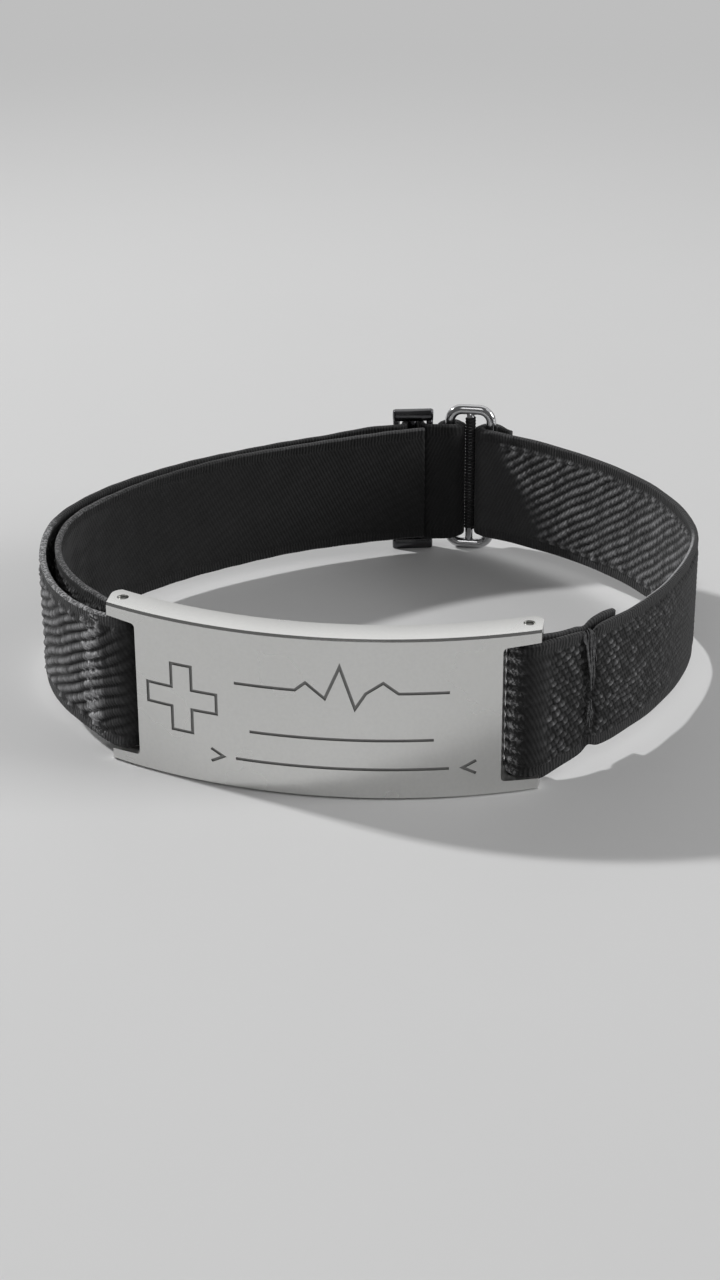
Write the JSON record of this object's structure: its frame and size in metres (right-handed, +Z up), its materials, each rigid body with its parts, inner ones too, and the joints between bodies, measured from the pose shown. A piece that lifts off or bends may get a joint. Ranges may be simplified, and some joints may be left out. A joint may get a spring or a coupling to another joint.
{
  "type": "medical alert bracelet",
  "caption": "Closed bracelet with a curved metal identity plate pinned to a woven elastic strap, joined at the back by a wire ring and a slider.",
  "frame": {"origin": "middle of the bracelet's footprint, on the surface that it lies on", "axes": "+X along the plate towards its right end as worn facing outward, +Y from the plate towards the ring and slider at the back, +Z up, across the strap's width"},
  "size_m": [0.071, 0.0656, 0.0186],
  "materials": {
    "plate_steel": "satin front with polished edges",
    "pin_steel": "turned, plain",
    "strap_cloth": "ribbed woven elastic, charcoal",
    "wire_chrome": "polished wire"
  },
  "bodies": {
    "root": {"id_plate": "plate_steel", "left_pin": "pin_steel", "right_pin": "pin_steel", "left_strap": "strap_cloth", "right_strap": "strap_cloth", "ring": "wire_chrome", "slider": "wire_chrome"}
  },
  "joints": []
}
